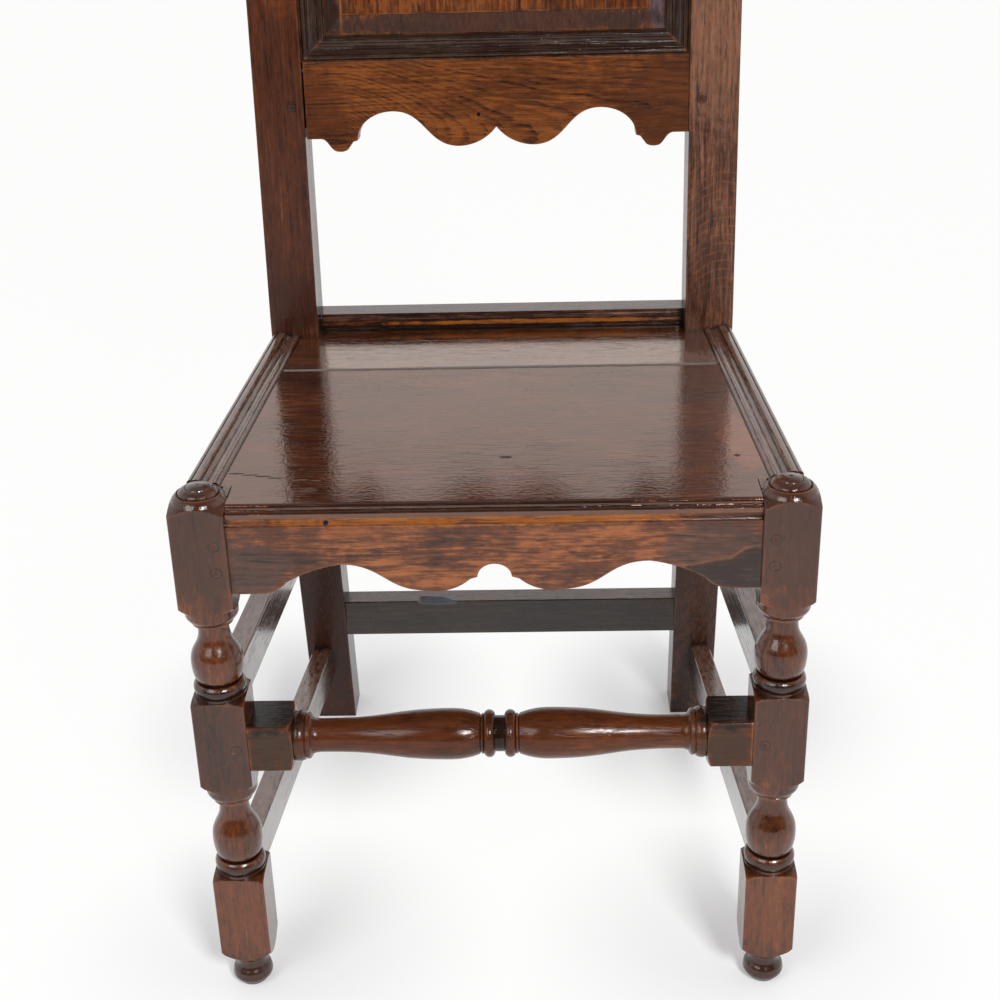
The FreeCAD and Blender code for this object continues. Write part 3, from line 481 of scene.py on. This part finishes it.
REAR = look(balance=0.34, dark=rgb(0.016, 0.008, 0.005), mid=rgb(0.042, 0.021, 0.012),
            light=rgb(0.080, 0.038, 0.021), wear=0.3, tops=1.0, streaks=0.9, coat=0.3, marks=(
                # painted highlight: a blue-grey glint on the splinter at the top front edge
                ((-0.070, 0.178, 0.1495), (0.020, 0.010, 0.003), GLINT_BLUE_GREY, 0.9),
            ))
RAIL = look(balance=0.62, ring_gap=0.008, heart=(0.0, 0.20, -0.42), blotches=0.9, mottle=0.6,
            dark=rgb(0.024, 0.009, 0.0055), light=rgb(0.27, 0.080, 0.020), streaks=0.8,
            ring_strength=0.4, pores=0.8, rough=0.22, coat=0.1, marks=(
                ((-0.1914, RAIL_FACE, 0.405), (0.035, 0.004, 0.024), GREY, 0.7),
                ((0.165, RAIL_FACE, 0.420), (0.040, 0.004, 0.020), GREY, 0.6),
                ((-0.015, -0.2295, 0.4462), (0.165, 0.0045, 0.0062), AMBER, 0.85),
                ((0.175, -0.2295, 0.4462), (0.030, 0.0045, 0.0062), UMBER, 0.8),
                ((-0.108, RAIL_FACE, 0.4375), (0.020, 0.004, 0.006), ORANGE, 0.7),
            ), dents=(((-0.1234, RAIL_FACE, 0.4444), (0.0028, 0.004, 0.0022)),))
SIDE = look(balance=0.42, tops=1.0, coat=0.9, blotches=0.6, streaks=0.9, mottle=0.4)
MOULDED = look(balance=0.48, grime_reach=0.006, grime_limits=(0.92, 0.50), grime=1.0, pores=0.6,
               streaks=0.9, coat=0.4, tops=0.8, light=rgb(0.20, 0.060, 0.018))
BEADED = look(MOULDED, balance=0.25, tops=0.4, wear=0.1, coat=0.2, marks=(
    ((0.0255, 0.149, 0.4650), (0.135, 0.004, 0.0020), AMBER, 0.95),
))
BACK = look(balance=0.66, ring_gap=0.0032, heart=(-0.1354, 0.0, 0.6493), fan=True,
            ring_strength=0.9, mid=rgb(0.092, 0.025, 0.0060), light=rgb(0.20, 0.058, 0.0115),
            pores=0.9, streaks=0.8, bump=0.25, specular=0.15, coat=0.0, rough=0.28, marks=(
                ((-0.19, BACK_FACE, 0.66), (0.060, 0.02, 0.05), CHESTNUT, 0.6),
                ((0.16, BACK_FACE, 0.67), (0.050, 0.02, 0.05), PLUM, 0.6),
            ), dents=(((-0.0157, 0.1505, 0.6591), (0.0017, 0.004, 0.0017)),))
PANEL = look(balance=0.62, pores=0.8, streaks=1.0, mottle=0.8, grime_reach=0.015, coat=0.0,
             specular=0.25, rough=0.24, wear=0.9, mid=rgb(0.082, 0.0205, 0.0050),
             light=rgb(0.20, 0.056, 0.012), marks=(
                 # painted shade on the left and bottom bevels, a painted blue-grey reflection on
                 # the right bevel, and a painted highlight along the field's left edge
                 ((-0.1435, PANEL_MIDDLE, 0.85), (0.0095, 0.06, 0.16), BLACK, 0.85),
                 ((0.1435, PANEL_MIDDLE, 0.85), (0.0095, 0.06, 0.16), GLINT_BLUE_GREY, 0.5),
                 ((0.0, PANEL_MIDDLE, 0.7365), (0.170, 0.06, 0.0105), DUSK, 0.75),
                 ((-0.1343, PANEL_MIDDLE, 0.85), (0.0011, 0.06, 0.13), TAN, 0.5),
             ))
STRIP = look(MOULDED, balance=0.26, mid=rgb(0.036, 0.019, 0.0095), light=rgb(0.10, 0.042, 0.015),
             streaks=1.0, wear=0.35, tops=0.0, coat=0.15, grime_limits=(0.80, 0.30))
SEAT_JOINT = ((0.0, 0.0480, SEAT_TOP), (0.300, 0.0032, 0.004))
SEAT_KNOT = (0.0086, -0.1471, SEAT_TOP)
CRACK_HALF = (0.0060, 0.0012, 0.004)
SEAT_CRACK = (
    ((-0.1975, -0.1702, SEAT_TOP), CRACK_HALF),
    ((-0.1870, -0.1732, SEAT_TOP), CRACK_HALF),
    ((-0.1765, -0.1760, SEAT_TOP), CRACK_HALF),
    ((-0.1660, -0.1794, SEAT_TOP), CRACK_HALF),
)
SEAT = look(balance=0.46, mid=rgb(0.050, 0.0128, 0.0034), light=rgb(0.140, 0.040, 0.0095),
            rough=0.085, bump=0.22, waves=0.3, pits=0.2, pores=1.0, wear=0.15, streaks=0.9,
            blotches=0.8, specular=1.0, ior=1.72, tint=rgb(1.0, 0.65, 0.53), coat=0.0, marks=(
                (SEAT_KNOT, (0.010, 0.004, 0.004), DUSK, 0.8),
                ((-0.1382, -0.202, SEAT_TOP), (0.006, 0.004, 0.004), SCUFF, 0.4),
                ((-0.1460, -0.1835, SEAT_TOP), (0.0050, 0.0010, 0.004), SCUFF, 0.6),
                ((-0.1350, -0.1850, SEAT_TOP), (0.0040, 0.0010, 0.004), SCUFF, 0.6),
                ((0.1966, -0.1213, SEAT_TOP), (0.018, 0.05, 0.004), ORANGE, 0.6),
                ((0.0, -0.2280, 0.4540), (0.210, 0.0060, 0.0080), DUSK, 0.85),
            ), dents=(
                SEAT_JOINT,
                (SEAT_KNOT, (0.005, 0.0022, 0.004)),
                ((0.1871, -0.1499, SEAT_TOP), (0.0022, 0.0022, 0.004)),
                *SEAT_CRACK,
            ))
SEAT_REAR = look(SEAT, ior=2.4, balance=0.60, tint=rgb(1.0, 0.86, 0.79), marks=(),
                 dents=(SEAT_JOINT,))
MENDED = look(balance=0.18, mid=rgb(0.040, 0.022, 0.016), light=rgb(0.07, 0.035, 0.024), wear=0.5)
PEG = look(balance=0.40, mid=rgb(0.060, 0.017, 0.007), light=rgb(0.110, 0.034, 0.014),
           grime_reach=0.003, wear=0.2)

DRESSING = (
    ("front_leg_left", LEG_LEFT, UPRIGHT),
    ("front_leg_right", LEG_RIGHT, UPRIGHT),
    ("rear_stile_left", STILE_LEFT, RAKED),
    ("rear_stile_right", STILE_RIGHT, RAKED),
    ("front_seat_rail", RAIL, ACROSS),
    ("apron_patch", MENDED, ACROSS),
    ("side_seat_rail_left", MOULDED, BACK_LEFT),
    ("side_seat_rail_right", MOULDED, BACK_RIGHT),
    ("back_seat_rail", BEADED, ACROSS),
    ("front_stretcher", SPINDLE, ACROSS),
    ("upper_side_stretcher_left", SIDE, BACK_LEFT),
    ("upper_side_stretcher_right", SIDE, BACK_RIGHT),
    ("lower_side_stretcher_left", SIDE, BACK_LEFT),
    ("lower_side_stretcher_right", SIDE, BACK_RIGHT),
    ("rear_stretcher", REAR, ACROSS),
    ("back_lower_rail", BACK, RAKED_ACROSS),
    ("back_crest_rail", BACK, RAKED_ACROSS),
    ("back_panel", PANEL, RAKED),
    ("panel_moulding_bottom", STRIP, RAKED_ACROSS),
    ("panel_moulding_top", STRIP, RAKED_ACROSS),
    ("panel_moulding_left", STRIP, RAKED),
    ("panel_moulding_right", STRIP, RAKED),
    ("seat_board_front", SEAT, ACROSS),
    ("seat_board_rear", SEAT_REAR, ACROSS),
    ("pegs_front", PEG, BACK_LEFT),
    ("pegs_sides", PEG, ACROSS),
    ("pegs_rear", PEG, BACK_LEFT),
    ("pegs_back_frame", PEG, BACK_LEFT),
)
for seed, (node, style, turn) in enumerate(DRESSING):
    dress(node, oak("oak_" + node, style, turn, seed))

# Floor: white to the camera and in reflections, with the chair's shadow left on it
FLOOR_HALF = 9.0
FOOT_PLACE = 0.21
FOOT_SHADE = (0.02, 0.24)
FOOT_SHARE_OF_WHITE = (0.15, 0.95)
floor_mesh = bpy.data.meshes.new("floor")
floor_mesh.from_pydata([(-FLOOR_HALF, -FLOOR_HALF, 0), (FLOOR_HALF, -FLOOR_HALF, 0),
                        (FLOOR_HALF, FLOOR_HALF, 0), (-FLOOR_HALF, FLOOR_HALF, 0)], [],
                       [(0, 1, 2, 3)])
floor = bpy.data.objects.new("floor", floor_mesh)
bpy.context.collection.objects.link(floor)
floor_material = bpy.data.materials.new("floor")
floor_material.use_nodes = True
g = Graph(floor_material.node_tree)
path = g.add("ShaderNodeLightPath")
seen = g.clamped(g.sum("ADD", path.outputs["Is Camera Ray"], path.outputs["Is Glossy Ray"]))
spot = g.vector("ABSOLUTE", g.add("ShaderNodeTexCoord").outputs["Object"])
foot = g.vector("LENGTH", g.moved(spot, place=(-FOOT_PLACE, -FOOT_PLACE, 0.0)))
open_floor = g.span(foot, *FOOT_SHADE, *FOOT_SHARE_OF_WHITE)
paint = g.add("ShaderNodeBsdfDiffuse", {"Color": rgb(0.95, 0.95, 0.95)})
white = g.add("ShaderNodeEmission", {"Color": rgb(1.0, 1.0, 0.995), "Strength": 1.0})
blend = g.add("ShaderNodeMixShader", {0: g.times(seen, open_floor), 1: paint.outputs[0],
                                      2: white.outputs[0]})
g.add("ShaderNodeOutputMaterial", {"Surface": blend.outputs[0]})
floor_mesh.materials.append(floor_material)

# World: white walls behind and beside the chair, a dim room in front of it and above
WALLS = rgb(1.0, 1.0, 1.0)
CEILING = rgb(0.30, 0.30, 0.32)
ROOM_IN_FRONT = rgb(0.02, 0.02, 0.022)
BACKDROP = rgb(0.975, 0.975, 0.975)
world = bpy.data.worlds.new("studio")
bpy.context.scene.world = world
world.use_nodes = True
g = Graph(world.node_tree)
direction = g.add("ShaderNodeTexCoord").outputs["Generated"]
_, backward, upward = g.parts(direction)
room = g.mix(g.span(upward, 0.50, 0.85), WALLS, CEILING)
room = g.mix(g.span(backward, -0.15, -0.60), room, ROOM_IN_FRONT)
camera_ray = g.add("ShaderNodeLightPath").outputs["Is Camera Ray"]
shown = g.mix(camera_ray, room, BACKDROP)
background = g.add("ShaderNodeBackground", {"Color": shown, "Strength": 1.0})
g.add("ShaderNodeOutputWorld", {"Surface": background.outputs[0]})


def soft_box(name, place, target, size, power):
    """A square lamp that looks at a target."""
    light = bpy.data.lights.new(name, "AREA")
    light.shape = "SQUARE"
    light.size = size
    light.energy = power
    box = bpy.data.objects.new(name, light)
    box.location = place
    box.rotation_euler = (Vector(target) - Vector(place)).to_track_quat("-Z", "Y").to_euler()
    bpy.context.collection.objects.link(box)


soft_box("box_right", (1.0, -2.5, 2.1), (0, 0, 0.45), 0.65, 72.0)
soft_box("box_left", (-1.35, -1.9, 1.75), (0, 0, 0.5), 1.3, 26.0)


def place_camera():
    """Sets the camera by its place, its three turns and its lens."""
    forward = Vector((math.sin(CAMERA_YAW) * math.cos(CAMERA_PITCH),
                      math.cos(CAMERA_YAW) * math.cos(CAMERA_PITCH), -math.sin(CAMERA_PITCH)))
    level = Vector((math.cos(CAMERA_YAW), -math.sin(CAMERA_YAW), 0.0))
    upward = level.cross(forward)
    right = level * math.cos(CAMERA_ROLL) + upward * math.sin(CAMERA_ROLL)
    up = upward * math.cos(CAMERA_ROLL) - level * math.sin(CAMERA_ROLL)
    lens = bpy.data.cameras.new("camera")
    lens.sensor_width = 36.0
    lens.lens = CAMERA_LENS
    camera = bpy.data.objects.new("camera", lens)
    turn = Matrix((right, up, -forward)).transposed()
    camera.matrix_world = Matrix.Translation(CAMERA_PLACE) @ turn.to_4x4()
    bpy.context.collection.objects.link(camera)
    bpy.context.scene.camera = camera


place_camera()
bpy.context.scene.view_settings.view_transform = "Standard"
